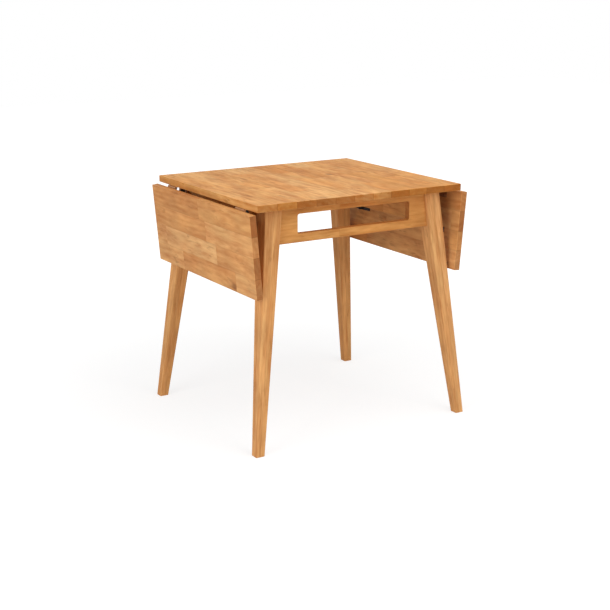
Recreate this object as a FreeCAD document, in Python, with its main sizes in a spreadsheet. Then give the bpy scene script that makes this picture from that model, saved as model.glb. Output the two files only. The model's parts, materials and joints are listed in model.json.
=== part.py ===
import FreeCAD, Part
import math
import os
import Sketcher

# Butterfly folding table: a nearly square wooden top on four splayed, tapered legs, with a
# drop leaf hinged along each side and a pair of folding stays under each leaf.
# Frame: millimetres, origin on the floor under the middle of the top, +Z up,
# +X towards the right leaf, -Y towards the front apron with the long slot.
# The table is stored with both leaves hanging.

Vector = FreeCAD.Vector
Rotation = FreeCAD.Rotation

doc = FreeCAD.newDocument("butterfly_table")

# Driving dimensions: alias, millimetres (rail_arm_lean in degrees), meaning
SIZES = [
    ("table_height", 720, "floor to upper face of the top"),
    ("top_width", 700, "fixed top, across the leaves"),
    ("top_depth", 620, "fixed top and leaves, front to back"),
    ("top_thickness", 20, "top and leaves"),
    ("edge_round", 1.5, "eased edges of the top, leaves, aprons and rails"),
    ("leaf_length", 240, "leaf, hinge edge to free edge"),
    ("leaf_gap", 1, "joint between the top and a raised leaf"),
    ("leg_inset_x", 50, "edge of the top to the leg, across"),
    ("leg_inset_y", 41, "edge of the top to the leg, front to back"),
    ("leg_top_size", 54, "square leg under the top"),
    ("leg_foot_size", 28, "square leg at the floor"),
    ("leg_splay_x", 72, "outward lean of a foot, across"),
    ("leg_splay_y", 60, "outward lean of a foot, front to back"),
    ("leg_round", 3, "rounded corners of a leg"),
    ("rail_height", 107, "aprons and side rails"),
    ("rail_thickness", 20, "aprons and side rails"),
    ("rail_recess", 5, "leg face to apron face under the top"),
    ("slot_inset", 52, "leg under the top to the end of an apron's slot"),
    ("slot_height", 57, "long slot in an apron"),
    ("slot_drop", 25, "wood above the slot"),
    ("slot_round", 6, "corners of the slot"),
    ("brace_thickness", 2.5, "steel of a corner brace"),
    ("brace_height", 60, "corner brace, up and down"),
    ("brace_drop", 10, "top of a corner brace below the top"),
    ("brace_flange", 22, "end flange of a corner brace"),
    ("brace_leg_gap", 3, "corner brace to the corner of the leg"),
    ("bolt_radius", 4, "hanger bolt"),
    ("bolt_inset", 13, "bolt to the nearer edge of its brace"),
    ("bolt_depth", 32, "bolt in the leg"),
    ("bolt_tail", 14, "bolt past the brace"),
    ("bolt_fit", 0.05, "bolt in its leg and nut"),
    ("bolt_clearance", 0.5, "bolt in its brace and washer"),
    ("washer_radius", 9, "bolt washer"),
    ("washer_thickness", 1.6, "bolt washer"),
    ("nut_radius", 7.5, "bolt nut, centre to corner"),
    ("nut_height", 6.5, "bolt nut"),
    ("hinge_inset", 95, "end of the top to the middle of a hinge"),
    ("hinge_width", 50, "hinge along its pin"),
    ("hinge_plate_width", 28, "pin to the edge of a hinge plate"),
    ("hinge_thickness", 2, "hinge plate"),
    ("knuckle_radius", 4, "rolled knuckle"),
    ("knuckle_clearance", 0.5, "knuckle to the wood and to the other plate"),
    ("knuckle_length", 20, "middle knuckle"),
    ("knuckle_gap", 0.3, "between knuckles"),
    ("pin_radius", 2, "hinge pin"),
    ("pin_fit", 0.05, "pin in its knuckles"),
    ("screw_hole_radius", 2, "screw holes in plates and brackets"),
    ("hinge_screw_inset", 9, "outer screws to the ends of a hinge plate"),
    ("hinge_screw_setback", 8, "screws to the long edge of a hinge plate"),
    ("stay_leg_gap", 3, "leg to the stay bracket on the rail"),
    ("arm_thickness", 3, "stay arms and lugs"),
    ("arm_half_width", 7, "stay arms and lugs"),
    ("arm_gap", 0.5, "between the two arms of a stay"),
    ("rivet_radius", 3, "stay rivets"),
    ("rivet_fit", 0.05, "rivet in a turning arm"),
    ("rivet_head_radius", 6, "stay rivets"),
    ("rivet_head_height", 2, "stay rivets"),
    ("rivet_head_gap", 0.3, "rivet head to a turning arm"),
    ("arm_clearance", 1, "stay arm to the plate of its bracket"),
    ("rail_arm_lean", 14, "stay arm on the rail from upright, with its leaf hanging"),
    ("rail_pivot_rise", 14, "lower edge of the rail to the stay's pivot"),
    ("rail_plate_width", 36, "stay bracket on the rail"),
    ("rail_plate_below", 10, "stay bracket on the rail, under its pivot"),
    ("rail_plate_above", 44, "stay bracket on the rail, over its pivot"),
    ("rail_screw_inset", 6, "screws to the edges of the stay bracket on the rail"),
    ("leaf_pivot_distance", 127, "hinge pin to the stay's pivot, along the leaf"),
    ("leaf_plate_length", 84, "stay bracket on the leaf"),
    ("leaf_plate_width", 14, "stay bracket on the leaf"),
    ("leaf_plate_thickness", 2.5, "stay bracket on the leaf"),
    ("leaf_screw_inset", 10, "outer screws to the ends of the stay bracket on the leaf"),
    ("buffer_radius", 8, "rubber buffer on a leaf"),
    ("buffer_height", 9.5, "rubber buffer, off the leaf's underside"),
    ("buffer_setback", 12, "leaf's free edge to the middle of a buffer"),
    ("buffer_gap", 0.4, "buffer to the leg that stops the leaf"),
    ("clip_leg", 20, "angle bracket that holds the top"),
    ("clip_width", 16, "angle bracket that holds the top"),
    ("clip_thickness", 2, "angle bracket that holds the top"),
    ("clip_inset", 125, "leg under the top to the middle of an angle bracket"),
]

dims = doc.addObject("Spreadsheet::Sheet", "dims")


def add_size(alias, value, meaning):
    """A named size in the next free row of the sheet."""
    row = len(dims.getUsedCells()) // 2 + 1
    dims.set(f"A{row}", meaning)
    dims.set(f"B{row}", str(value))
    dims.setAlias(f"B{row}", alias)


for size in SIZES:
    add_size(*size)
doc.recompute()

# Lengths worked out from the driving dimensions, as expressions on the sheet
UNDERSIDE = "(dims.table_height - dims.top_thickness)"
HALF_WIDTH = "(dims.top_width / 2)"
HALF_DEPTH = "(dims.top_depth / 2)"
LEG_OUTER_X = f"({HALF_WIDTH} - dims.leg_inset_x)"
LEG_OUTER_Y = f"({HALF_DEPTH} - dims.leg_inset_y)"
LEG_INNER_X = f"({LEG_OUTER_X} - dims.leg_top_size)"
LEG_INNER_Y = f"({LEG_OUTER_Y} - dims.leg_top_size)"
FOOT_OUTER_X = f"({LEG_OUTER_X} + dims.leg_splay_x)"
FOOT_OUTER_Y = f"({LEG_OUTER_Y} + dims.leg_splay_y)"
FOOT_INNER_X = f"({FOOT_OUTER_X} - dims.leg_foot_size)"
FOOT_INNER_Y = f"({FOOT_OUTER_Y} - dims.leg_foot_size)"
RAIL_BOTTOM = f"({UNDERSIDE} - dims.rail_height)"
RAIL_SHARE = f"(dims.rail_height / {UNDERSIDE})"
LEG_LOW_X = f"({LEG_INNER_X} + ({FOOT_INNER_X} - {LEG_INNER_X}) * {RAIL_SHARE})"
LEG_LOW_Y = f"({LEG_INNER_Y} + ({FOOT_INNER_Y} - {LEG_INNER_Y}) * {RAIL_SHARE})"
APRON_INNER = f"({LEG_OUTER_Y} - dims.rail_recess - dims.rail_thickness)"
RAIL_OUTER = f"({LEG_OUTER_X} - dims.rail_recess)"
RAIL_INNER = f"({RAIL_OUTER} - dims.rail_thickness)"
PIN_DROP = "(dims.knuckle_radius + dims.knuckle_clearance)"
PIN_X = f"({HALF_WIDTH} + dims.leaf_gap / 2)"
PIN_Z = f"({UNDERSIDE} - {PIN_DROP})"
BRACE_TOP = f"({UNDERSIDE} - dims.brace_drop)"
BOLT_Z = f"({BRACE_TOP} - dims.brace_height / 2)"
# A brace lies square to the diagonal of the corner; its outer face is x + y = BRACE_SUM.
BRACE_SUM = f"({LEG_INNER_X} + {LEG_INNER_Y} - dims.brace_leg_gap * sqrt(2))"
BOLT_SIDE = f"(({LEG_INNER_X} - {LEG_INNER_Y}) / sqrt(2))"
BOLT_SPREAD = "(dims.brace_height / 2 - dims.bolt_inset)"
HINGE_Y = f"({HALF_DEPTH} - dims.hinge_inset)"
# A stay's bracket stands beside the leg, which leans away below the top.
RAIL_PIVOT_Z = f"({RAIL_BOTTOM} + dims.rail_pivot_rise)"
RAIL_PLATE_SHARE = f"(1 - ({RAIL_PIVOT_Z} + dims.rail_plate_above) / {UNDERSIDE})"
LEG_BY_PLATE = f"({LEG_INNER_Y} + ({FOOT_INNER_Y} - {LEG_INNER_Y}) * {RAIL_PLATE_SHARE})"
STAY_Y = f"({LEG_BY_PLATE} - dims.stay_leg_gap - dims.rail_plate_width / 2)"
ARM_LAYER = "(dims.arm_thickness + dims.arm_gap)"
RAIL_PIVOT_REACH = "(dims.arm_thickness + dims.arm_half_width + dims.arm_clearance)"
LEAF_PIVOT_DROP = "(dims.leaf_plate_thickness + dims.arm_half_width + dims.arm_clearance)"
BUFFER_DISTANCE = "(dims.leaf_gap / 2 + dims.leaf_length - dims.buffer_setback)"


def measure(expression):
    """The value of an expression on the sheet, in millimetres."""
    return float(dims.evalExpression(expression))


def new_body(label):
    """An empty body whose label names its file."""
    body = doc.addObject("PartDesign::Body", label)
    body.Label = label
    return body


def new_sketch(body, role, name, lift=None):
    """A sketch on one of the body's own origin planes, lifted along the plane's normal."""
    sketch = body.newObject("Sketcher::SketchObject", name)
    plane = [datum for datum in body.Origin.OriginFeatures if datum.Role == role][0]
    sketch.AttachmentSupport = [(plane, "")]
    sketch.MapMode = "FlatFace"
    if lift:
        sketch.setExpression(".AttachmentOffset.Base.z", lift)
    return sketch


def bind(sketch, constraint, expression):
    """Tie a constraint of a sketch to the sheet."""
    index = sketch.addConstraint(constraint)
    sketch.setExpression(f"Constraints[{index}]", expression)


def pin_point(sketch, curve, point, across, along):
    """Hold a point of a curve at two expressions from the sketch's origin."""
    for kind, expression in (("DistanceX", across), ("DistanceY", along)):
        constraint = Sketcher.Constraint(kind, -1, 1, curve, point, measure(expression))
        bind(sketch, constraint, expression)


def polygon(sketch, corners):
    """A closed outline through corners given as pairs of expressions."""
    points = [Vector(measure(across), measure(along), 0) for across, along in corners]
    first = sketch.GeometryCount
    for here, there in zip(points, points[1:] + points[:1]):
        sketch.addGeometry(Part.LineSegment(here, there))
    for index in range(len(points)):
        following = (index + 1) % len(points)
        sketch.addConstraint(Sketcher.Constraint("Coincident", first + index, 2, first + following, 1))
    for index, (across, along) in enumerate(corners):
        pin_point(sketch, first + index, 1, across, along)


def rectangle(sketch, left, bottom, right, top):
    """A rectangle between two corners."""
    polygon(sketch, [(left, bottom), (right, bottom), (right, top), (left, top)])


def rounded_rectangle(sketch, left, bottom, right, top, radius):
    """A rectangle between two corners, with round corners tangent to its sides."""
    low = Vector(measure(left), measure(bottom), 0)
    high = Vector(measure(right), measure(top), 0)
    bend = measure(radius)
    inner = [Vector(x, y, 0) for x, y in (
        (low.x + bend, low.y + bend), (high.x - bend, low.y + bend),
        (high.x - bend, high.y - bend), (low.x + bend, high.y - bend))]
    outward = [Vector(0, -bend, 0), Vector(bend, 0, 0), Vector(0, bend, 0), Vector(-bend, 0, 0)]
    first = sketch.GeometryCount
    for side, (here, there) in enumerate(zip(inner, inner[1:] + inner[:1])):
        sketch.addGeometry(Part.LineSegment(here + outward[side], there + outward[side]))
        start = (side - 1) * math.pi / 2
        corner = Part.Circle(there, Vector(0, 0, 1), bend)
        sketch.addGeometry(Part.ArcOfCircle(corner, start, start + math.pi / 2))
    for curve in range(8):
        sketch.addConstraint(Sketcher.Constraint("Tangent", first + curve, 2, first + (curve + 1) % 8, 1))
    for side, direction in enumerate(("Horizontal", "Vertical", "Horizontal", "Vertical")):
        sketch.addConstraint(Sketcher.Constraint(direction, first + 2 * side))
    for arc in (3, 5, 7):
        sketch.addConstraint(Sketcher.Constraint("Equal", first + 1, first + arc))
    bind(sketch, Sketcher.Constraint("Radius", first + 1, bend), radius)
    for side, (kind, expression) in enumerate((
            ("DistanceY", bottom), ("DistanceX", right), ("DistanceY", top), ("DistanceX", left))):
        constraint = Sketcher.Constraint(kind, -1, 1, first + 2 * side, 1, measure(expression))
        bind(sketch, constraint, expression)


def circle(sketch, across, along, radius):
    """A circle about a point."""
    centre = Vector(measure(across), measure(along), 0)
    index = sketch.addGeometry(Part.Circle(centre, Vector(0, 0, 1), measure(radius)))
    pin_point(sketch, index, 3, across, along)
    bind(sketch, Sketcher.Constraint("Radius", index, measure(radius)), radius)


def pad(body, sketch, length, symmetric=False, reverse=False):
    """Add the sketch's outline to the body, pulled to a length."""
    feature = body.newObject("PartDesign::Pad", sketch.Name + "_pad")
    feature.Profile = sketch
    feature.setExpression("Length", length)
    feature.SideType = "Symmetric" if symmetric else "One side"
    feature.Reversed = reverse
    doc.recompute()
    return feature


def pocket(body, sketch, length=None):
    """Cut the sketch's outline from the body: to a length, or right through both ways."""
    before = body.Shape.Volume
    feature = body.newObject("PartDesign::Pocket", sketch.Name + "_pocket")
    feature.Profile = sketch
    if length:
        feature.setExpression("Length", length)
    else:
        feature.Type = "ThroughAll"
        feature.SideType = "Symmetric"
    doc.recompute()
    if body.Shape.Volume >= before:
        raise RuntimeError(f"{feature.Name} removes nothing")
    return feature


def ease_edges(body, radius, test):
    """Round the edges of the body that the test picks out."""
    tip = body.Tip
    edges = [f"Edge{number}" for number, edge in enumerate(tip.Shape.Edges, start=1) if test(edge)]
    feature = body.newObject("PartDesign::Fillet", body.Name + "_round")
    feature.Base = (tip, edges)
    feature.setExpression("Radius", radius)
    doc.recompute()


def place(item, across="0", along="0", up="0", rotation=None):
    """Put a piece in the table's frame."""
    item.Placement = FreeCAD.Placement(Vector(0, 0, 0), rotation or Rotation())
    for axis, expression in zip("xyz", (across, along, up)):
        item.setExpression(f".Placement.Base.{axis}", expression)


def mirrored(source, label, normal):
    """The other hand of a piece, across a plane through the middle of the table."""
    twin = doc.addObject("Part::Mirroring", label)
    twin.Label = label
    twin.Source = source
    twin.Normal = normal
    doc.recompute()
    return twin


ACROSS = Vector(1, 0, 0)
DEPTHWISE = Vector(0, 1, 0)


def all_corners(source):
    """A back right piece and its other three hands."""
    piece = source.Label.replace("back_right_", "")
    front = mirrored(source, f"front_right_{piece}", DEPTHWISE)
    back_left = mirrored(source, f"back_left_{piece}", ACROSS)
    front_left = mirrored(front, f"front_left_{piece}", ACROSS)
    return [source, front, back_left, front_left]


def group(label, pieces):
    """Identical small pieces that share one file."""
    compound = doc.addObject("Part::Compound", label)
    compound.Label = label
    compound.Links = pieces
    doc.recompute()
    return compound


def fuse(label, pieces):
    """One solid made of overlapping primitives."""
    union = doc.addObject("Part::MultiFuse", label)
    union.Label = label
    union.Shapes = pieces
    union.Refine = True
    doc.recompute()
    return union


def cut(label, base, tool):
    """One primitive less another."""
    rest = doc.addObject("Part::Cut", label)
    rest.Label = label
    rest.Base = base
    rest.Tool = tool
    doc.recompute()
    return rest


def cylinder(name, radius, height):
    """A round bar along its own Z axis."""
    bar = doc.addObject("Part::Cylinder", name)
    bar.setExpression("Radius", radius)
    bar.setExpression("Height", height)
    return bar


# The hinge pin, the turn from a raised leaf to a hanging one, and a leaf's own axes when
# it hangs: outward along the leaf, and up through its thickness.
PIN = Vector(measure(PIN_X), 0, measure(PIN_Z))


def leaf_turn():
    """How far a leaf swings down, in degrees, before its buffers come to the legs.

    The rim of a buffer nearest the leaf's free edge comes first. It swings on a circle
    about the pin; distances are taken square to the outer face of the leg.
    """
    slope = measure("dims.leg_splay_x") / measure(UNDERSIDE)
    square = Vector(1, 0, slope).normalize()
    leg_edge = Vector(measure(LEG_OUTER_X), 0, measure(UNDERSIDE))
    room = (PIN - leg_edge).dot(square) - measure("dims.buffer_gap")
    rim = Vector(measure(f"{BUFFER_DISTANCE} + dims.buffer_radius"), 0,
                 measure(f"{PIN_DROP} - dims.buffer_height"))
    toward_leg = math.atan2(rim.z * square.x - rim.x * square.z, rim.dot(square))
    return math.degrees(toward_leg + math.acos(-room / rim.Length))


HANGING = Rotation(DEPTHWISE, leaf_turn())
LEAF_OUT = HANGING.multVec(Vector(1, 0, 0))
LEAF_UP = HANGING.multVec(Vector(0, 0, 1))


def stay_layout():
    """Where a back right stay's two pivots and its knee lie, with its leaf hanging.

    The two arms lie in line when the leaf is up. How much of that span is the rail arm
    follows from its lean when the leaf hangs and the knee is folded.
    """
    rail_pivot = Vector(measure(f"{RAIL_OUTER} + {RAIL_PIVOT_REACH}"), 0, measure(RAIL_PIVOT_Z))
    out = measure("dims.leaf_pivot_distance")
    up = measure(f"{PIN_DROP} - {LEAF_PIVOT_DROP}")
    raised_pivot = PIN + Vector(out, 0, up)
    hung_pivot = PIN + LEAF_OUT * out + LEAF_UP * up
    span = (raised_pivot - rail_pivot).Length
    fold = hung_pivot - rail_pivot
    lean = math.radians(measure("dims.rail_arm_lean"))
    along_arm = Vector(math.sin(lean), 0, math.cos(lean))
    rail_arm = (span ** 2 - fold.Length ** 2) / (2 * (span - along_arm.dot(fold)))
    return rail_pivot, hung_pivot, rail_pivot + along_arm * rail_arm


RAIL_PIVOT, HUNG_PIVOT, KNEE = stay_layout()
add_size("rail_arm_length", (KNEE - RAIL_PIVOT).Length, "stay arm on the rail, pivot to knee")
add_size("leaf_arm_length", (KNEE - HUNG_PIVOT).Length, "stay arm on the leaf, pivot to knee")
doc.recompute()


def make_top():
    """The fixed top, one glued-up board with eased edges."""
    body = new_body("top_panel")
    sketch = new_sketch(body, "XY_Plane", "top_outline")
    rectangle(sketch, f"-{HALF_WIDTH}", f"-{HALF_DEPTH}", HALF_WIDTH, HALF_DEPTH)
    pad(body, sketch, "dims.top_thickness")
    ease_edges(body, "dims.edge_round", lambda edge: True)
    place(body, up=UNDERSIDE)
    return [body]


def make_leaves():
    """The two leaves, drawn raised with the hinge pin as origin and then turned down."""
    body = new_body("right_leaf")
    sketch = new_sketch(body, "XY_Plane", "leaf_outline", PIN_DROP)
    hinge_edge = "dims.leaf_gap / 2"
    rectangle(sketch, hinge_edge, f"-{HALF_DEPTH}", f"{hinge_edge} + dims.leaf_length", HALF_DEPTH)
    pad(body, sketch, "dims.top_thickness")
    ease_edges(body, "dims.edge_round", lambda edge: True)
    place(body, PIN_X, "0", PIN_Z, HANGING)
    return [body, mirrored(body, "left_leaf", ACROSS)]


def diagonal_sketch(body, name):
    """A sketch on the upright plane that faces the back right leg along the diagonal."""
    sketch = new_sketch(body, "XZ_Plane", name)
    sketch.AttachmentOffset = FreeCAD.Placement(Vector(0, 0, 0), Rotation(Vector(0, 1, 0), -45))
    return sketch


def bolt_circles(sketch, radius):
    """The two bolts of a leg, seen along the diagonal."""
    for half in ("-", ""):
        circle(sketch, BOLT_SIDE, f"{BOLT_Z} + {half}{BOLT_SPREAD}", radius)


def make_legs():
    """The square legs, tapered from top to foot and splayed both ways."""
    body = new_body("back_right_leg")
    foot = new_sketch(body, "XY_Plane", "leg_foot")
    rounded_rectangle(foot, FOOT_INNER_X, FOOT_INNER_Y, FOOT_OUTER_X, FOOT_OUTER_Y, "dims.leg_round")
    head = new_sketch(body, "XY_Plane", "leg_head", UNDERSIDE)
    rounded_rectangle(head, LEG_INNER_X, LEG_INNER_Y, LEG_OUTER_X, LEG_OUTER_Y, "dims.leg_round")
    loft = body.newObject("PartDesign::AdditiveLoft", "leg_taper")
    loft.Profile = foot
    loft.Sections = [head]
    loft.Ruled = True
    doc.recompute()
    bolts = diagonal_sketch(body, "leg_bolts")
    bolt_circles(bolts, "dims.bolt_radius + dims.bolt_fit")
    pocket(body, bolts, f"({LEG_INNER_X} + {LEG_INNER_Y}) / sqrt(2) + dims.bolt_depth")
    return all_corners(body)


def long_lower_edge(edge):
    """Whether an edge is one of the two long ones under an apron or a side rail."""
    low = measure(RAIL_BOTTOM)
    level = all(math.isclose(vertex.Z, low) for vertex in edge.Vertexes)
    return level and edge.Length > measure("dims.rail_thickness")


def make_aprons():
    """The front and back aprons, fitted between the legs, each with its long slot."""
    body = new_body("back_apron")
    outline = new_sketch(body, "XZ_Plane", "apron_outline")
    polygon(outline, [
        (f"-{LEG_LOW_X}", RAIL_BOTTOM),
        (LEG_LOW_X, RAIL_BOTTOM),
        (LEG_INNER_X, UNDERSIDE),
        (f"-{LEG_INNER_X}", UNDERSIDE),
    ])
    pad(body, outline, "dims.rail_thickness", reverse=True)
    ease_edges(body, "dims.edge_round", long_lower_edge)
    slot = new_sketch(body, "XZ_Plane", "apron_slot")
    slot_top = f"{UNDERSIDE} - dims.slot_drop"
    slot_end = f"({LEG_INNER_X} - dims.slot_inset)"
    rounded_rectangle(slot, f"-{slot_end}", f"{slot_top} - dims.slot_height", slot_end, slot_top,
                      "dims.slot_round")
    pocket(body, slot)
    place(body, along=APRON_INNER)
    return [body, mirrored(body, "front_apron", DEPTHWISE)]


def make_side_rails():
    """The side rails between the legs, behind the hanging leaves."""
    body = new_body("right_rail")
    outline = new_sketch(body, "YZ_Plane", "rail_outline")
    polygon(outline, [
        (f"-{LEG_LOW_Y}", RAIL_BOTTOM),
        (LEG_LOW_Y, RAIL_BOTTOM),
        (LEG_INNER_Y, UNDERSIDE),
        (f"-{LEG_INNER_Y}", UNDERSIDE),
    ])
    pad(body, outline, "dims.rail_thickness")
    ease_edges(body, "dims.edge_round", long_lower_edge)
    place(body, RAIL_INNER)
    return [body, mirrored(body, "left_rail", ACROSS)]


def make_corner_braces():
    """Pressed steel braces across the inner corners, which the leg bolts pull against."""
    body = new_body("back_right_corner_brace")
    section = new_sketch(body, "XY_Plane", "brace_section", f"{BRACE_TOP} - dims.brace_height")
    at_apron = f"({BRACE_SUM} - {APRON_INNER})"
    at_rail = f"({BRACE_SUM} - {RAIL_INNER})"
    skew = "dims.brace_thickness * sqrt(2)"
    polygon(section, [
        (f"{at_apron} + dims.brace_flange", APRON_INNER),
        (f"{at_apron} - {skew}", APRON_INNER),
        (RAIL_INNER, f"{at_rail} - {skew}"),
        (RAIL_INNER, f"{at_rail} + dims.brace_flange"),
        (f"{RAIL_INNER} - dims.brace_thickness", f"{at_rail} + dims.brace_flange"),
        (f"{RAIL_INNER} - dims.brace_thickness", f"{at_rail} + dims.brace_thickness"),
        (f"{at_apron} + dims.brace_thickness", f"{APRON_INNER} - dims.brace_thickness"),
        (f"{at_apron} + dims.brace_flange", f"{APRON_INNER} - dims.brace_thickness"),
    ])
    pad(body, section, "dims.brace_height")
    bolts = diagonal_sketch(body, "brace_bolts")
    bolt_circles(bolts, "dims.bolt_radius + dims.bolt_clearance")
    pocket(body, bolts, f"{BRACE_SUM} / sqrt(2) + dims.brace_thickness")
    return all_corners(body)


def on_bolt(item, distance, side):
    """Lay a round piece along a leg bolt, starting at a distance out along the diagonal."""
    outward = f"({distance}) / sqrt(2)"
    shift = f"{BOLT_SIDE} / sqrt(2)"
    height = f"{BOLT_Z} + {side}{BOLT_SPREAD}"
    diagonal = Rotation(Vector(0, 0, 1), Vector(1, 1, 0))
    place(item, f"{outward} + {shift}", f"{outward} - {shift}", height, diagonal)


def make_bolts():
    """Two hanger bolts to a leg, each with its washer and nut inside the brace."""
    inner_face = f"{BRACE_SUM} / sqrt(2) - dims.brace_thickness"
    washer_face = f"{inner_face} - dims.washer_thickness"
    kinds = {"hanger_bolts": [], "bolt_washers": [], "bolt_nuts": []}
    for side, word in (("-", "low"), ("", "high")):
        leg_face = f"({LEG_INNER_X} + {LEG_INNER_Y}) / sqrt(2)"
        shank = cylinder(f"bolt_{word}", "dims.bolt_radius",
                         f"{leg_face} + dims.bolt_depth - ({inner_face}) + dims.bolt_tail")
        on_bolt(shank, f"{inner_face} - dims.bolt_tail", side)
        kinds["hanger_bolts"].append(shank)

        disc = cylinder(f"washer_disc_{word}", "dims.washer_radius", "dims.washer_thickness")
        eye = cylinder(f"washer_eye_{word}", "dims.bolt_radius + dims.bolt_clearance",
                       "dims.washer_thickness")
        for item in (disc, eye):
            on_bolt(item, washer_face, side)
        kinds["bolt_washers"].append(cut(f"washer_{word}", disc, eye))

        hexagon = doc.addObject("Part::Prism", f"nut_hexagon_{word}")
        hexagon.Polygon = 6
        hexagon.setExpression("Circumradius", "dims.nut_radius")
        hexagon.setExpression("Height", "dims.nut_height")
        thread = cylinder(f"nut_thread_{word}", "dims.bolt_radius + dims.bolt_fit", "dims.nut_height")
        for item in (hexagon, thread):
            on_bolt(item, f"{washer_face} - dims.nut_height", side)
        kinds["bolt_nuts"].append(cut(f"nut_{word}", hexagon, thread))
    nodes = []
    for label, pieces in kinds.items():
        corner = group(f"back_right_{label}", pieces)
        nodes.append(group(label, all_corners(corner)))
    return nodes


def hinge_plate(label, knuckle_rows):
    """A hinge plate with its rolled knuckles about the pin, drawn as the top's half.

    knuckle_rows gives the stretches along the pin that belong to the other plate.
    """
    body = new_body(label)
    flat = new_sketch(body, "XZ_Plane", f"{label}_flat")
    rectangle(flat, "-dims.hinge_plate_width", f"{PIN_DROP} - dims.hinge_thickness", "0", PIN_DROP)
    pad(body, flat, "dims.hinge_width", symmetric=True)
    barrel = new_sketch(body, "XZ_Plane", f"{label}_barrel")
    circle(barrel, "0", "0", "dims.knuckle_radius")
    pad(body, barrel, "dims.hinge_width", symmetric=True)
    bore = new_sketch(body, "XZ_Plane", f"{label}_bore")
    circle(bore, "0", "0", "dims.pin_radius + dims.pin_fit")
    pocket(body, bore)
    room = "dims.knuckle_radius + dims.knuckle_clearance"
    notches = new_sketch(body, "XY_Plane", f"{label}_notches")
    for start, end in knuckle_rows:
        rectangle(notches, f"-({room})", start, room, end)
    pocket(body, notches)
    holes = new_sketch(body, "XY_Plane", f"{label}_holes")
    column = "-dims.hinge_plate_width + dims.hinge_screw_setback"
    end_row = "(dims.hinge_width / 2 - dims.hinge_screw_inset)"
    for row in (f"-{end_row}", "0", end_row):
        circle(holes, column, row, "dims.screw_hole_radius")
    pocket(body, holes)
    return body


def make_hinges():
    """Surface hinges under the joint of top and leaf, one near each end of a leaf."""
    inner = "dims.knuckle_length / 2"
    outer = "dims.hinge_width / 2 + dims.knuckle_gap"
    middle_row = [(f"-({inner} + dims.knuckle_gap)", f"{inner} + dims.knuckle_gap")]
    end_rows = [(f"-({outer})", f"-({inner})"), (inner, outer)]
    top_plate = hinge_plate("back_right_hinge_top_plate", middle_row)
    place(top_plate, PIN_X, HINGE_Y, PIN_Z)
    leaf_plate = hinge_plate("back_right_hinge_leaf_plate", end_rows)
    half_turn = Rotation(Vector(0, 0, 1), 180)
    place(leaf_plate, PIN_X, HINGE_Y, PIN_Z, HANGING.multiply(half_turn))
    pin = cylinder("back_right_hinge_pin", "dims.pin_radius", "dims.hinge_width")
    along_pin = Rotation(Vector(0, 0, 1), DEPTHWISE)
    place(pin, PIN_X, f"{HINGE_Y} - dims.hinge_width / 2", PIN_Z, along_pin)
    nodes = []
    for piece in (top_plate, leaf_plate, pin):
        nodes += all_corners(piece)
    return nodes


def aim(start, end):
    """The turn that lays a piece's own X axis from one point to another, upright in XZ."""
    run = end - start
    return Rotation(DEPTHWISE, math.degrees(math.atan2(-run.z, run.x)))


def arm(label, length, far_face):
    """A flat stay arm with round ends, its pivot at the origin and its knee along +X."""
    body = new_body(label)
    blade = new_sketch(body, "XZ_Plane", f"{label}_blade", f"-({far_face})")
    width = "dims.arm_half_width"
    rectangle(blade, "0", f"-{width}", length, width)
    pad(body, blade, "dims.arm_thickness")
    for centre, word in (("0", "pivot"), (length, "knee")):
        eye = new_sketch(body, "XZ_Plane", f"{label}_{word}", f"-({far_face})")
        circle(eye, centre, "0", width)
        pad(body, eye, "dims.arm_thickness")
    return body


def bore_arm(body, centres):
    """Rivet holes through a stay arm."""
    holes = new_sketch(body, "XZ_Plane", f"{body.Name}_holes")
    for centre in centres:
        circle(holes, centre, "0", "dims.rivet_radius + dims.rivet_fit")
    pocket(body, holes)


def rivet(label, start, end, heads):
    """A rivet along +Y from one face to another, with a flat head on each face named."""
    along_pin = Rotation(Vector(0, 0, 1), DEPTHWISE)
    shank = cylinder(f"{label}_shank", "dims.rivet_radius", f"({end}) - ({start})")
    place(shank, along=start, rotation=along_pin)
    pieces = [shank]
    for word, face in heads:
        head = cylinder(f"{label}_{word}", "dims.rivet_head_radius", "dims.rivet_head_height")
        place(head, along=face, rotation=along_pin)
        pieces.append(head)
    return fuse(label, pieces)


def stay_rail_bracket():
    """The bracket on the outer face of a side rail, with one lug for the stay's pivot."""
    body = new_body("back_right_stay_rail_bracket")
    plate = new_sketch(body, "YZ_Plane", "rail_plate")
    half = "dims.rail_plate_width / 2"
    rectangle(plate, f"-{half}", "-dims.rail_plate_below", half, "dims.rail_plate_above")
    pad(body, plate, "dims.arm_thickness")
    lug_face = f"-({ARM_LAYER} + dims.arm_thickness / 2)"
    width = "dims.arm_half_width"
    neck = new_sketch(body, "XZ_Plane", "rail_lug_neck", lug_face)
    rectangle(neck, "0", f"-{width}", RAIL_PIVOT_REACH, width)
    pad(body, neck, "dims.arm_thickness")
    eye = new_sketch(body, "XZ_Plane", "rail_lug_eye", lug_face)
    circle(eye, RAIL_PIVOT_REACH, "0", width)
    pad(body, eye, "dims.arm_thickness")
    bore = new_sketch(body, "XZ_Plane", "rail_lug_bore")
    circle(bore, RAIL_PIVOT_REACH, "0", "dims.rivet_radius + dims.rivet_fit")
    pocket(body, bore)
    holes = new_sketch(body, "YZ_Plane", "rail_plate_holes")
    inset = "dims.rail_screw_inset"
    for side in (f"-({half} - {inset})", f"{half} - {inset}"):
        for height in (f"{width} + {inset}", f"dims.rail_plate_above - {inset}"):
            circle(holes, side, height, "dims.screw_hole_radius")
    pocket(body, holes)
    place(body, RAIL_OUTER, STAY_Y, RAIL_PIVOT_Z)
    return body


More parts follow.
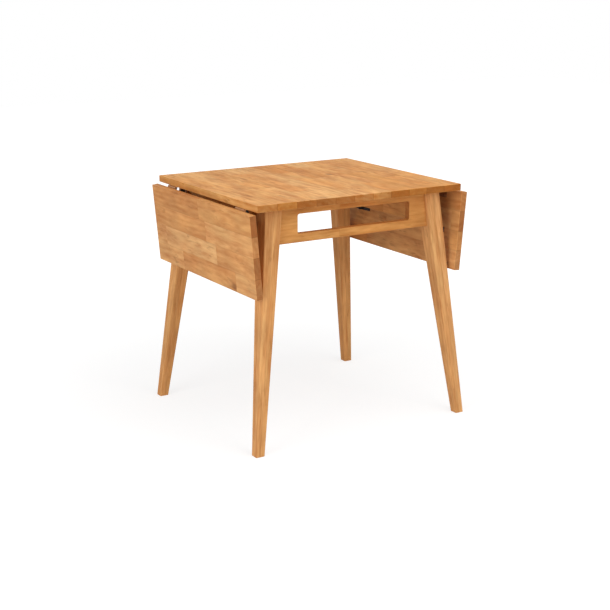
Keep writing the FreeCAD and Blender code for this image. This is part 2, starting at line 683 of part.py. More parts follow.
def stay_leaf_bracket():
    """The long plate on a leaf's underside, with one lug for the stay's pivot."""
    body = new_body("back_right_stay_leaf_bracket")
    plate = new_sketch(body, "XY_Plane", "leaf_plate", f"{PIN_DROP} - dims.leaf_plate_thickness")
    half_length = "dims.leaf_plate_length / 2"
    centre = "dims.leaf_pivot_distance"
    rectangle(plate, f"{centre} - dims.leaf_plate_width / 2", f"-{half_length}",
              f"{centre} + dims.leaf_plate_width / 2", half_length)
    pad(body, plate, "dims.leaf_plate_thickness")
    width = "dims.arm_half_width"
    lug_face = "-dims.arm_thickness / 2"
    pivot_height = f"{PIN_DROP} - {LEAF_PIVOT_DROP}"
    neck = new_sketch(body, "XZ_Plane", "leaf_lug_neck", lug_face)
    rectangle(neck, f"{centre} - {width}", pivot_height, f"{centre} + {width}", PIN_DROP)
    pad(body, neck, "dims.arm_thickness")
    eye = new_sketch(body, "XZ_Plane", "leaf_lug_eye", lug_face)
    circle(eye, centre, pivot_height, width)
    pad(body, eye, "dims.arm_thickness")
    bore = new_sketch(body, "XZ_Plane", "leaf_lug_bore")
    circle(bore, centre, pivot_height, "dims.rivet_radius + dims.rivet_fit")
    pocket(body, bore)
    holes = new_sketch(body, "XY_Plane", "leaf_plate_holes")
    end_row = f"({half_length} - dims.leaf_screw_inset)"
    for row in (f"-{end_row}", f"-{end_row} / 2", f"{end_row} / 2", end_row):
        circle(holes, centre, row, "dims.screw_hole_radius")
    pocket(body, holes)
    place(body, PIN_X, STAY_Y, PIN_Z, HANGING)
    return body


def at_stay(item, pivot, rotation=None):
    """Put a stay's piece at one of its pivots."""
    middle = Vector(0, measure(STAY_Y), 0)
    item.Placement = FreeCAD.Placement(pivot + middle, rotation or Rotation())


def make_stays():
    """Two folding stays to a leaf: brackets, two flat arms and their rivets.

    The rail arm and the leaf's lug share one layer, the leaf arm and the rail's lug the next.
    The knee rivet is fixed in the rail arm and ends at the gap between the arms; the leaf arm
    carries the other head.
    """
    half = "dims.arm_thickness / 2"
    near_face = f"-{half}"
    far_face = f"{ARM_LAYER} + {half}"
    head = "dims.rivet_head_height"
    clear = "dims.rivet_head_gap"

    rail_arm = arm("back_right_stay_rail_arm", "dims.rail_arm_length", half)
    bore_arm(rail_arm, ["0", "dims.rail_arm_length"])
    at_stay(rail_arm, RAIL_PIVOT, aim(RAIL_PIVOT, KNEE))

    leaf_arm = arm("back_right_stay_leaf_arm", "dims.leaf_arm_length", far_face)
    stud = new_sketch(leaf_arm, "XZ_Plane", "knee_stud", f"-({far_face} + {head})")
    circle(stud, "dims.leaf_arm_length", "0", "dims.rivet_head_radius")
    pad(leaf_arm, stud, head)
    bore_arm(leaf_arm, ["0"])
    at_stay(leaf_arm, HUNG_PIVOT, aim(HUNG_PIVOT, KNEE))

    rail_rivet = rivet("back_right_stay_rail_rivets", f"{near_face} - {clear} - {head}", far_face,
                       [("inner", f"{near_face} - {clear} - {head}"), ("outer", far_face)])
    at_stay(rail_rivet, RAIL_PIVOT)
    leaf_rivet = rivet("back_right_stay_leaf_rivets", near_face, f"{far_face} + {clear} + {head}",
                       [("inner", f"{near_face} - {head}"), ("outer", f"{far_face} + {clear}")])
    at_stay(leaf_rivet, HUNG_PIVOT)
    knee_rivet = rivet("back_right_stay_knee_rivet", near_face, half,
                       [("inner", f"{near_face} - {head}")])
    at_stay(knee_rivet, KNEE)

    nodes = []
    for piece in (stay_rail_bracket(), stay_leaf_bracket(), rail_arm, leaf_arm, knee_rivet):
        nodes += all_corners(piece)
    nodes.append(group("stay_rail_rivets", all_corners(rail_rivet)))
    back_right, front_right, back_left, front_left = all_corners(leaf_rivet)
    nodes.append(group("right_stay_leaf_rivets", [back_right, front_right]))
    nodes.append(group("left_stay_leaf_rivets", [back_left, front_left]))
    return nodes


def make_buffers():
    """Rubber buffers on the underside of a leaf, one against each leg when it hangs."""
    share = f"(({BUFFER_DISTANCE} + {PIN_DROP}) / {UNDERSIDE})"
    leg_middle = (f"({LEG_OUTER_Y} + {LEG_INNER_Y}) / 2 * (1 - {share})"
                  f" + ({FOOT_OUTER_Y} + {FOOT_INNER_Y}) / 2 * {share}")
    body = new_body("back_right_leaf_buffers")
    round_face = new_sketch(body, "XY_Plane", "buffer_round", PIN_DROP)
    circle(round_face, BUFFER_DISTANCE, "0", "dims.buffer_radius")
    pad(body, round_face, "dims.buffer_height", reverse=True)
    place(body, PIN_X, leg_middle, PIN_Z, HANGING)
    back_right, front_right, back_left, front_left = all_corners(body)
    return [group("right_leaf_buffers", [back_right, front_right]),
            group("left_leaf_buffers", [back_left, front_left])]


def angle_clip(label):
    """A steel angle, one leg up against an upright face at x = 0, the other under the top."""
    body = new_body(label)
    section = new_sketch(body, "XZ_Plane", f"{label}_section")
    reach = "-dims.clip_leg"
    wall = "-dims.clip_thickness"
    polygon(section, [("0", "0"), (reach, "0"), (reach, wall), (wall, wall), (wall, reach), ("0", reach)])
    pad(body, section, "dims.clip_width", symmetric=True)
    middle = "(-dims.clip_leg - dims.clip_thickness) / 2"
    upper = new_sketch(body, "XY_Plane", f"{label}_upper_hole")
    circle(upper, middle, "0", "dims.screw_hole_radius")
    pocket(body, upper)
    side = new_sketch(body, "YZ_Plane", f"{label}_side_hole")
    circle(side, "0", middle, "dims.screw_hole_radius")
    pocket(body, side)
    return body


def make_clips():
    """Steel angles inside the aprons and side rails, which the top is screwed to."""
    on_rail = angle_clip("back_right_rail_clip")
    place(on_rail, RAIL_INNER, f"{LEG_INNER_Y} - dims.clip_inset", UNDERSIDE)
    on_apron = angle_clip("back_right_apron_clip")
    across = f"{LEG_INNER_X} - dims.clip_inset"
    place(on_apron, across, APRON_INNER, UNDERSIDE, Rotation(Vector(0, 0, 1), 90))
    return [group("top_clips", all_corners(on_rail) + all_corners(on_apron))]


def write_parts(nodes):
    """Check every object and node, then write one file for each node."""
    failed = [item.Name for item in doc.Objects if "Invalid" in item.State or "Error" in item.State]
    failed += [node.Label for node in nodes if node.Shape.isNull() or not node.Shape.isValid()]
    if failed:
        raise RuntimeError(f"failed objects: {failed}")
    os.makedirs("parts", exist_ok=True)
    for node in nodes:
        node.Shape.exportStep(f"parts/{node.Label}.step")
    print(len(nodes), "nodes", sum(len(node.Shape.Solids) for node in nodes), "solids")


nodes = make_top() + make_leaves() + make_legs() + make_aprons() + make_side_rails()
nodes += make_corner_braces() + make_bolts() + make_hinges() + make_stays()
nodes += make_buffers() + make_clips()
doc.recompute()
write_parts(nodes)
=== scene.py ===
# %% [markdown]
# # A butterfly folding table
# The table has a nearly square top, a leaf hinged along each side, four splayed legs and an
# apron with a long slot at the front and back. Both leaves hang. Every board, bracket and bolt
# is a CAD solid, already in its place, so this lesson gives the solids their finishes, adds the
# wood screws, and sets up a small studio. Nothing of the CAD model is moved.

# %% Load the table
import json
import math

import bpy
from mathutils import Matrix, Vector


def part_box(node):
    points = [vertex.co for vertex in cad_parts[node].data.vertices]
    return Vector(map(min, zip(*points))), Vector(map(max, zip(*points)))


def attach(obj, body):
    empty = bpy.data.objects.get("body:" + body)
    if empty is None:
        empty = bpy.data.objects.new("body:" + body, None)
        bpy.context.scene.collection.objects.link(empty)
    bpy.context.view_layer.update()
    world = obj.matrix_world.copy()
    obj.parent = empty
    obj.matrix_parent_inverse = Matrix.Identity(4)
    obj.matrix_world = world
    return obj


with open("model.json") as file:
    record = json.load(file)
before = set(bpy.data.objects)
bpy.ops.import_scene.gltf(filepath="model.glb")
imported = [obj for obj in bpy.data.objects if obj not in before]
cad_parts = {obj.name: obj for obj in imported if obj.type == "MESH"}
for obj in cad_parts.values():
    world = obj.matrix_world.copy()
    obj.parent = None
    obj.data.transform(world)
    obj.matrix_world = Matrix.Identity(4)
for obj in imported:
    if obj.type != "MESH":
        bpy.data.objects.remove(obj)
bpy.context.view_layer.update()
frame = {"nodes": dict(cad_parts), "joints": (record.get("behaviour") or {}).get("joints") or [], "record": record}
nodes = frame["nodes"]
MM = 0.001

# %% [markdown]
# ## Two helpers for materials
# A colour picker shows sRGB values, but a shader works in linear light, so one function turns a
# hex value into linear numbers. A second one adds a node to any tree, sets its properties and
# fills its inputs. Written like this, a long node tree stays short enough to read.

# %% Helpers


def linear(code):
    """A shader colour, by the sRGB curve, from a hex value such as "d39d62"."""
    shares = [int(code[start:start + 2], 16) / 255 for start in (0, 2, 4)]
    return tuple(s / 12.92 if s <= 0.04045 else ((s + 0.055) / 1.055) ** 2.4 for s in shares) + (1.0,)


def add(tree, kind, inputs=None, **settings):
    """Add a node: set its properties, then give each input a value or another node's output."""
    node = tree.nodes.new(kind)
    for name, value in settings.items():
        setattr(node, name, value)
    for key, value in (inputs or {}).items():
        if isinstance(value, bpy.types.NodeSocket):
            tree.links.new(value, node.inputs[key])
        else:
            node.inputs[key].default_value = value
    return node


print("honey brown in linear light:", [round(value, 3) for value in linear("d39d62")])

# %% [markdown]
# ## Laminated wood
# The boards are glued up from staves of oiled hardwood. A stave is about 60 mm wide, and it is
# finger-jointed from shorter blocks, so the tone and the figure change along it as well as from
# one stave to the next. One could paint planks on a flat picture, but then the ends of a board
# would show stripes instead of end grain. Here the wood is solid: the pattern is worked out at a
# point inside the board, so faces, edges and ends agree by themselves.
#
# The tree is a node group with named inputs, because all the boards share it. It first finds
# which block a point is in. White noise gives every block its own number, which picks its tone
# and moves its figure.

# %% The laminated wood group: staves and blocks
wood = bpy.data.node_groups.new("laminated_wood", "ShaderNodeTree")
for socket, kind in (("Position", "NodeSocketVector"), ("End Grain", "NodeSocketFloat"),
                     ("Stave Width", "NodeSocketFloat"), ("Block Length", "NodeSocketFloat"),
                     ("Fineness", "NodeSocketFloat"), ("Evenness", "NodeSocketFloat"),
                     ("Saturation", "NodeSocketFloat"), ("Seed", "NodeSocketFloat")):
    wood.interface.new_socket(socket, in_out="INPUT", socket_type=kind)
for socket, kind in (("Color", "NodeSocketColor"), ("Roughness", "NodeSocketFloat"),
                     ("Height", "NodeSocketFloat")):
    wood.interface.new_socket(socket, in_out="OUTPUT", socket_type=kind)
given = add(wood, "NodeGroupInput").outputs
ROW_SHIFT = 7.0  # block lengths by which a row's joints may be moved along

point = add(wood, "ShaderNodeSeparateXYZ", {0: given["Position"]}).outputs
across = add(wood, "ShaderNodeMath", {0: point["X"], 1: given["Stave Width"]},
             operation="DIVIDE").outputs[0]
row = add(wood, "ShaderNodeMath", {0: across}, operation="FLOOR").outputs[0]
row_key = add(wood, "ShaderNodeCombineXYZ", {"X": row, "Y": given["Seed"]}).outputs[0]
row_start = add(wood, "ShaderNodeTexWhiteNoise", {"Vector": row_key},
                noise_dimensions="2D").outputs["Value"]
lengths = add(wood, "ShaderNodeMath", {0: point["Y"], 1: given["Block Length"]},
              operation="DIVIDE").outputs[0]
along = add(wood, "ShaderNodeMath", {0: row_start, 1: ROW_SHIFT, 2: lengths},
            operation="MULTIPLY_ADD").outputs[0]
block = add(wood, "ShaderNodeMath", {0: along}, operation="FLOOR").outputs[0]
block_key = add(wood, "ShaderNodeCombineXYZ", {"X": row, "Y": block, "Z": given["Seed"]}).outputs[0]
lot = add(wood, "ShaderNodeTexWhiteNoise", {"Vector": block_key}, noise_dimensions="3D").outputs
print("laminated wood: staves and blocks use", len(wood.nodes), "nodes")

# %% [markdown]
# ## Growth rings
# A tree grows in rings about its heart. A block is a piece out of that trunk, so the distance
# to a heart line somewhere near the block gives the ring that a point lies in. Slow noise, drawn
# out along the grain, makes the rings waver, and where they meet a face at a low angle they open
# into the arched figure of a flat-sawn board. Evenness calms the waver for a plain piece such as
# a leg, and Fineness narrows the figure across the grain.

# %% The laminated wood group: rings
SWAY_SIZE = 60 * MM
SWAY_REACH = 26 * MM
LOT_SPREAD = 0.9  # metres by which the figure may jump from block to block
GRAIN_DRAW = 0.17  # stretch along the grain, where a smaller share draws out longer
HEART_MIDDLE = (0.5, 0.5, -0.25)
HEART_SPREAD = (0.12, 0, 0.08)

piece = add(wood, "ShaderNodeVectorMath", {0: lot["Color"], 1: (LOT_SPREAD,) * 3, 2: given["Position"]},
            operation="MULTIPLY_ADD").outputs[0]
squeeze = add(wood, "ShaderNodeCombineXYZ",
              {"X": given["Fineness"], "Y": 1.0, "Z": given["Fineness"]}).outputs[0]
scaled = add(wood, "ShaderNodeVectorMath", {0: piece, 1: squeeze}, operation="MULTIPLY").outputs[0]
drawn_out = add(wood, "ShaderNodeVectorMath", {0: scaled, 1: (1, GRAIN_DRAW, 1)},
                operation="MULTIPLY").outputs[0]
sway = add(wood, "ShaderNodeTexNoise",
           {"Vector": drawn_out, "Scale": 1 / SWAY_SIZE, "Detail": 2.0}).outputs["Color"]
lean = add(wood, "ShaderNodeVectorMath", {0: sway, 1: (0.5, 0.5, 0.5)}, operation="SUBTRACT").outputs[0]
wildness = add(wood, "ShaderNodeMath", {0: 1.0, 1: given["Evenness"]}, operation="SUBTRACT").outputs[0]
reach = add(wood, "ShaderNodeMath", {0: wildness, 1: SWAY_REACH * 2}, operation="MULTIPLY").outputs[0]
reaches = add(wood, "ShaderNodeCombineXYZ", {"X": reach, "Z": reach}).outputs[0]
swing = add(wood, "ShaderNodeVectorMath", {0: lean, 1: reaches}, operation="MULTIPLY").outputs[0]

part_across = add(wood, "ShaderNodeMath", {0: across, 1: row}, operation="SUBTRACT").outputs[0]
from_middle = add(wood, "ShaderNodeMath", {0: part_across, 1: 0.5}, operation="SUBTRACT").outputs[0]
side = add(wood, "ShaderNodeMath", {0: from_middle, 1: given["Stave Width"]},
           operation="MULTIPLY").outputs[0]
section = add(wood, "ShaderNodeCombineXYZ", {"X": side, "Z": point["Z"]}).outputs[0]
heart = add(wood, "ShaderNodeVectorMath", {0: lot["Color"], 1: HEART_MIDDLE},
            operation="SUBTRACT").outputs[0]
to_heart = add(wood, "ShaderNodeVectorMath", {0: heart, 1: HEART_SPREAD, 2: section},
               operation="MULTIPLY_ADD").outputs[0]
wavering = add(wood, "ShaderNodeVectorMath", {0: to_heart, 1: swing}, operation="ADD").outputs[0]
radius = add(wood, "ShaderNodeVectorMath", {0: wavering}, operation="LENGTH").outputs["Value"]
print("laminated wood: rings bring it to", len(wood.nodes), "nodes")

# %% [markdown]
# ## Knots
# Where a branch grew out of the trunk there is a dark knot, and the rings bulge round it. Voronoi
# cells scatter the places, and a cell's random colour picks the few that get a knot. The distance
# to the heart, bulges and all, is then counted off in rings.

# %% The laminated wood group: knots
RING_WIDTH = 7 * MM
KNOT_SPACING = 105 * MM
KNOT_SHAPE = (1, 0.5, 0.6)
KNOT_RARITY = 0.88
KNOT_BULGE = 20 * MM

knot_space = add(wood, "ShaderNodeVectorMath", {0: piece, 1: KNOT_SHAPE},
                 operation="MULTIPLY").outputs[0]
cells = add(wood, "ShaderNodeTexVoronoi", {"Vector": knot_space, "Scale": 1 / KNOT_SPACING}).outputs
chance = add(wood, "ShaderNodeSeparateXYZ", {0: cells["Color"]}).outputs["X"]
chosen = add(wood, "ShaderNodeMath", {0: chance, 1: KNOT_RARITY}, operation="GREATER_THAN").outputs[0]
swirl = add(wood, "ShaderNodeMapRange", {"Value": cells["Distance"], "From Min": 0.0, "From Max": 0.4,
                                         "To Min": KNOT_BULGE, "To Max": 0.0},
            interpolation_type="SMOOTHSTEP").outputs[0]
bulge = add(wood, "ShaderNodeMath", {0: swirl, 1: chosen, 2: radius},
            operation="MULTIPLY_ADD").outputs[0]
core = add(wood, "ShaderNodeMapRange", {"Value": cells["Distance"], "From Min": 0.03, "From Max": 0.13,
                                        "To Min": 1.0, "To Max": 0.0},
           interpolation_type="SMOOTHSTEP").outputs[0]
knot = add(wood, "ShaderNodeMath", {0: core, 1: chosen}, operation="MULTIPLY").outputs[0]

turns = add(wood, "ShaderNodeMath", {0: bulge, 1: 1 / RING_WIDTH}, operation="MULTIPLY").outputs[0]
ring = add(wood, "ShaderNodeMath", {0: turns, 1: 1.0}, operation="PINGPONG").outputs[0]
print("laminated wood: knots bring it to", len(wood.nodes), "nodes")

# %% [markdown]
# ## Streaks and flecks
# Noise drawn out along the grain gives bands and streaks, and the finest gives fibres. Real
# fibres are thinner than a pixel here, so they are drawn about 2 mm wide. A cloudy mottle makes
# parts of a board lighter. Short dark flecks lie along the grain and gather in patches.

# %% The laminated wood group: streaks and flecks
BAND_WIDTH = 30 * MM
STREAK_WIDTH = 9 * MM
FIBRE_WIDTH = 2 * MM
MOTTLE_SIZE = 60 * MM
FLECK_SIZE = 9 * MM
FLECK_PATCH = 120 * MM
FIBRE_DRAW, MOTTLE_DRAW, FLECK_DRAW = 0.04, 0.5, 0.2

streak_space = add(wood, "ShaderNodeVectorMath", {0: drawn_out, 1: swing}, operation="ADD").outputs[0]
band = add(wood, "ShaderNodeTexNoise",
           {"Vector": streak_space, "Scale": 1 / BAND_WIDTH, "Detail": 2.0}).outputs["Fac"]
streak = add(wood, "ShaderNodeTexNoise", {"Vector": streak_space, "Scale": 1 / STREAK_WIDTH,
                                          "Detail": 3.0}).outputs["Fac"]
fibre_space = add(wood, "ShaderNodeVectorMath", {0: piece, 1: (1, FIBRE_DRAW, 1)},
                  operation="MULTIPLY").outputs[0]
fibre = add(wood, "ShaderNodeTexNoise", {"Vector": fibre_space, "Scale": 1 / FIBRE_WIDTH,
                                         "Detail": 2.0}).outputs["Fac"]
cloud_space = add(wood, "ShaderNodeVectorMath", {0: piece, 1: (1, MOTTLE_DRAW, 1)},
                  operation="MULTIPLY").outputs[0]
mottle = add(wood, "ShaderNodeTexNoise",
             {"Vector": cloud_space, "Scale": 1 / MOTTLE_SIZE, "Detail": 3.0}).outputs["Fac"]

short_grain = add(wood, "ShaderNodeVectorMath", {0: piece, 1: (1, FLECK_DRAW, 1)},
                  operation="MULTIPLY").outputs[0]
curl = add(wood, "ShaderNodeTexNoise", {"Vector": short_grain, "Scale": 1 / FLECK_SIZE, "Detail": 2.0,
                                        "Distortion": 0.4}).outputs["Fac"]
dash = add(wood, "ShaderNodeMapRange", {"Value": curl, "From Min": 0.57, "From Max": 0.68},
           interpolation_type="SMOOTHSTEP").outputs[0]
patch = add(wood, "ShaderNodeTexNoise",
            {"Vector": given["Position"], "Scale": 1 / FLECK_PATCH, "Detail": 1.0}).outputs["Fac"]
busy = add(wood, "ShaderNodeMapRange", {"Value": patch, "From Min": 0.42, "From Max": 0.6},
           interpolation_type="SMOOTHSTEP").outputs[0]
fleck = add(wood, "ShaderNodeMath", {0: dash, 1: busy}, operation="MULTIPLY").outputs[0]
print("laminated wood: streaks and flecks bring it to", len(wood.nodes), "nodes")

# %% [markdown]
# ## From figure to colour
# Oil deepens wood instead of covering it, so the colour runs between a pale and a deep honey
# brown of the same hue. Each block picks its own tone from a short row of tones, and Evenness
# draws it towards a middle one. Late wood, bands, streaks and fibres pull it darker, and flecks
# and knots are darker still. Evenness makes the flecks fainter too.

# %% The laminated wood group: colour
BLOCK_TONES = ["c98240", "e7b377", "d59753", "f0c38a", "dea466"]
MIDDLE_TONE = linear("e2ab6d")
LATE_WOOD = linear("b26b37")
FLECK_BROWN = linear("8f5526")
KNOT_BROWN = linear("6b3c1a")
RING_SHARE, STREAK_SHARE, FIBRE_SHARE = 0.2, 0.8, 0.3
FLECK_STRENGTH, KNOT_STRENGTH = 0.75, 0.6

tones = add(wood, "ShaderNodeValToRGB", {"Fac": lot["Value"]})
tones.color_ramp.elements[0].color = linear(BLOCK_TONES[0])
tones.color_ramp.elements[1].color = linear(BLOCK_TONES[-1])
for number, tone in enumerate(BLOCK_TONES[1:-1], start=1):
    tones.color_ramp.elements.new(number / (len(BLOCK_TONES) - 1)).color = linear(tone)

mixed_lot = add(wood, "ShaderNodeMix",
                {"Factor": given["Evenness"], 6: tones.outputs["Color"], 7: MIDDLE_TONE},
                data_type="RGBA").outputs[2]
ring_share = add(wood, "ShaderNodeMath", {0: ring, 1: RING_SHARE}, operation="MULTIPLY").outputs[0]
with_band = add(wood, "ShaderNodeMath", {0: band, 1: ring_share}, operation="ADD").outputs[0]
with_streak = add(wood, "ShaderNodeMath", {0: streak, 1: STREAK_SHARE, 2: with_band},
                  operation="MULTIPLY_ADD").outputs[0]
with_fibre = add(wood, "ShaderNodeMath", {0: fibre, 1: FIBRE_SHARE, 2: with_streak},
                 operation="MULTIPLY_ADD").outputs[0]
grain = add(wood, "ShaderNodeMapRange", {"Value": with_fibre, "From Min": 0.83, "From Max": 1.6,
                                         "To Min": 0.0, "To Max": 0.9}).outputs[0]
figured = add(wood, "ShaderNodeMix", {"Factor": grain, 6: mixed_lot, 7: LATE_WOOD},
              data_type="RGBA").outputs[2]
fleck_level = add(wood, "ShaderNodeMath", {0: wildness, 1: FLECK_STRENGTH},
                  operation="MULTIPLY").outputs[0]
fleck_share = add(wood, "ShaderNodeMath", {0: fleck, 1: fleck_level}, operation="MULTIPLY").outputs[0]
flecked = add(wood, "ShaderNodeMix", {"Factor": fleck_share, 6: figured, 7: FLECK_BROWN},
              data_type="RGBA").outputs[2]
knot_share = add(wood, "ShaderNodeMath", {0: knot, 1: KNOT_STRENGTH}, operation="MULTIPLY").outputs[0]
knotted = add(wood, "ShaderNodeMix", {"Factor": knot_share, 6: flecked, 7: KNOT_BROWN},
              data_type="RGBA").outputs[2]
print("laminated wood: colour brings it to", len(wood.nodes), "nodes")

# %% [markdown]
# ## Glue lines, end grain and sheen
# The distance to the nearest side of a stave or end of a block gives the glue lines. A real one is
# thinner than a pixel here, so it is drawn wider and faint. End grain soaks up more oil, so the
# ends of a board are browner than its faces, each block by its own amount. That brown is also made
# deeper than oil alone would make it, as painted shade for the shaded end walls of the apron slots.
# The streaks vary the sheen, and fibres and glue lines give a slight relief.

# %% The laminated wood group: glue lines and ends
GLUE_LINE = linear("7c4a22")
# end grain brown: the oil's real darkening, made deeper as painted shade for the shaded slot end walls
END_GRAIN_AND_SHADE_BROWN = linear("8f5026")
GLUE_WIDTH = 2 * MM
SEAM_ON_FACE, SEAM_MORE_ON_END = 0.12, 0.5

near_side = add(wood, "ShaderNodeMath", {0: across, 1: 0.5}, operation="PINGPONG").outputs[0]
side_gap = add(wood, "ShaderNodeMath", {0: near_side, 1: given["Stave Width"]},
               operation="MULTIPLY").outputs[0]
near_end = add(wood, "ShaderNodeMath", {0: along, 1: 0.5}, operation="PINGPONG").outputs[0]
end_gap = add(wood, "ShaderNodeMath", {0: near_end, 1: given["Block Length"]},
              operation="MULTIPLY").outputs[0]
gap = add(wood, "ShaderNodeMath", {0: side_gap, 1: end_gap}, operation="MINIMUM").outputs[0]
seam_depth = add(wood, "ShaderNodeMath", {0: given["End Grain"], 1: SEAM_MORE_ON_END, 2: SEAM_ON_FACE},
                 operation="MULTIPLY_ADD").outputs[0]
seam = add(wood, "ShaderNodeMapRange", {"Value": gap, "From Min": 0.0, "From Max": GLUE_WIDTH,
                                        "To Min": seam_depth, "To Max": 0.0}).outputs[0]
# how brown each block's ends go: the oil soaking in, together with painted shade
end_depth_pick = add(wood, "ShaderNodeSeparateXYZ", {0: lot["Color"]}).outputs["Y"]
soaked_and_shaded = add(wood, "ShaderNodeMapRange", {"Value": end_depth_pick, "To Min": 0.35, "To Max": 0.85}).outputs[0]
end_and_shade_share = add(wood, "ShaderNodeMath", {0: given["End Grain"], 1: soaked_and_shaded},
                operation="MULTIPLY").outputs[0]
ended_and_shaded = add(wood, "ShaderNodeMix", {"Factor": end_and_shade_share, 6: knotted, 7: END_GRAIN_AND_SHADE_BROWN},
            data_type="RGBA").outputs[2]
glued = add(wood, "ShaderNodeMix", {"Factor": seam, 6: ended_and_shaded, 7: GLUE_LINE}, data_type="RGBA").outputs[2]
bright = add(wood, "ShaderNodeMapRange", {"Value": mottle, "From Min": 0.3, "From Max": 0.7,
                                          "To Min": 0.87, "To Max": 1.12}).outputs[0]
oiled = add(wood, "ShaderNodeHueSaturation",
            {"Saturation": given["Saturation"], "Value": bright, "Color": glued}).outputs[0]

rough = add(wood, "ShaderNodeMapRange", {"Value": streak, "To Min": 0.46, "To Max": 0.62}).outputs[0]
sunk = add(wood, "ShaderNodeMath", {0: fibre, 1: seam}, operation="SUBTRACT").outputs[0]
add(wood, "NodeGroupOutput", {"Color": oiled, "Roughness": rough, "Height": sunk})
print("laminated wood: the whole group has", len(wood.nodes), "nodes")

# %% [markdown]
# ## Laying the wood on each board
# Grain follows the length of a piece: front to back in the top and leaves, along an apron or a
# rail, and down a leg. A Mapping node of type Texture turns the table's coordinates into the
# board's own, with X across the staves and Y along the grain. These are Object coordinates, so
# the grain of a leaf swings with it. The normal tells which faces are cut across the grain.

# %% A material for one board


def wooden(name, corner, across_way, grain_way, stave_width, block_length, seed, fineness, evenness,
           saturation=1.0):
    """Oiled laminated hardwood, laid along one board. The oil leaves a low, even sheen."""
    along_grain = Vector(grain_way).normalized()
    through = Vector(across_way).cross(along_grain).normalized()
    turn = Matrix((along_grain.cross(through), along_grain, through)).transposed().to_euler()
    material = bpy.data.materials.new(name)
    material.use_nodes = True
    tree = material.node_tree
    tree.nodes.clear()
    place = add(tree, "ShaderNodeTexCoord").outputs
    laid = add(tree, "ShaderNodeMapping",
               {"Vector": place["Object"], "Location": corner, "Rotation": turn},
               vector_type="TEXTURE").outputs[0]
    facing = add(tree, "ShaderNodeVectorMath", {0: place["Normal"], 1: along_grain},
                 operation="DOT_PRODUCT").outputs["Value"]
    either_end = add(tree, "ShaderNodeMath", {0: facing}, operation="ABSOLUTE").outputs[0]
    cut = add(tree, "ShaderNodeMapRange",
              {"Value": either_end, "From Min": 0.6, "From Max": 0.95}).outputs[0]
    figure = add(tree, "ShaderNodeGroup", node_tree=wood)
    tree.links.new(laid, figure.inputs["Position"])
    tree.links.new(cut, figure.inputs["End Grain"])
    figure.inputs["Stave Width"].default_value = stave_width
    figure.inputs["Block Length"].default_value = block_length
    figure.inputs["Fineness"].default_value = fineness
    figure.inputs["Evenness"].default_value = evenness
    figure.inputs["Saturation"].default_value = saturation
    figure.inputs["Seed"].default_value = seed
    relief = add(tree, "ShaderNodeBump", {"Height": figure.outputs["Height"], "Strength": 0.25,
                                          "Distance": 0.3 * MM}).outputs[0]
    surface = add(tree, "ShaderNodeBsdfPrincipled", {"Base Color": figure.outputs["Color"],
                                                     "Roughness": figure.outputs["Roughness"],
                                                     "Normal": relief, "IOR": 1.47,
                                                     "Specular IOR Level": 0.12})
    add(tree, "ShaderNodeOutputMaterial", {"Surface": surface.outputs[0]})
    return material


def dress(node, material):
    """Give a CAD node a finish."""
    nodes[node].material_slots[0].material = material


ACROSS, DEPTHWISE, UP = Vector((1, 0, 0)), Vector((0, 1, 0)), Vector((0, 0, 1))
TOP_STAVES, TOP_BLOCK, TOP_SEED = 11, 0.36, 6.0
low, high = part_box("top_panel")
top_stave = (high.x - low.x) / TOP_STAVES
dress("top_panel", wooden("oiled_hardwood_top", low, ACROSS, DEPTHWISE, top_stave, TOP_BLOCK, TOP_SEED,
                          fineness=0.75, evenness=0.45, saturation=1.06))
print("top:", TOP_STAVES, "staves,", round(top_stave / MM, 1), "mm wide")

# %% [markdown]
# ## The leaves
# A leaf hangs a few degrees past upright. The fold joint knows the pin and the angle, so turning
# a raised leaf's axes by that angle gives the hanging board its own. Every leaf-mounted piece in
# this lesson is placed the same way.

# %% Wood on the leaves
folds = {joint["child"]: joint for joint in frame["joints"] if joint["name"].endswith("_leaf_fold")}


def hang(body, spot, direction=False):
    """Turn a point, or a direction, of a raised leaf down to where the leaf hangs."""
    joint = folds[body]
    turn = Matrix.Rotation(-math.radians(joint["range_deg"][1]), 3, Vector(joint["axis"]))
    if direction:
        return turn @ Vector(spot)
    pin = Vector(joint["pos_m"])
    return pin + turn @ (Vector(spot) - pin)


LEAF_STAVES, LEAF_BLOCK = 4, 0.33
for body, outward, seed in (("left_leaf", -1, 17.0), ("right_leaf", 1, 23.0)):
    pin = Vector(folds[body]["pos_m"])
    axes = (hang(body, ACROSS * outward, True), DEPTHWISE, hang(body, UP, True))
    low = [min((vertex.co - pin).dot(axis) for vertex in nodes[body].data.vertices) for axis in axes]
    high = [max((vertex.co - pin).dot(axis) for vertex in nodes[body].data.vertices) for axis in axes]
    corner = pin + sum((axis * start for axis, start in zip(axes, low)), Vector())
    leaf_length = high[0] - low[0]
    dress(body, wooden(f"oiled_hardwood_{body}", corner, axes[0], DEPTHWISE, leaf_length / LEAF_STAVES,
                       LEAF_BLOCK, seed, fineness=0.7, evenness=0.5))
    print(body, "is", round(leaf_length / MM, 1), "mm long, hangs", folds[body]["range_deg"][1],
          "degrees below level")

# %% [markdown]
# ## Legs, aprons and rails
# A leg leans two ways, so its grain runs from the middle of its foot to the middle of its head,
# both read from the mesh. The legs are laminated from whole narrow strips, without finger joints.
# An apron or a rail is one board, jointed only along its length.

# %% Wood on the legs, aprons and rails


def middle(node, height):
    """The middle of a node's section at its foot or head."""
    ring = [vertex.co for vertex in nodes[node].data.vertices if abs(vertex.co.z - height) < MM]
    return Vector([(min(co[axis] for co in ring) + max(co[axis] for co in ring)) / 2
                   for axis in range(3)])


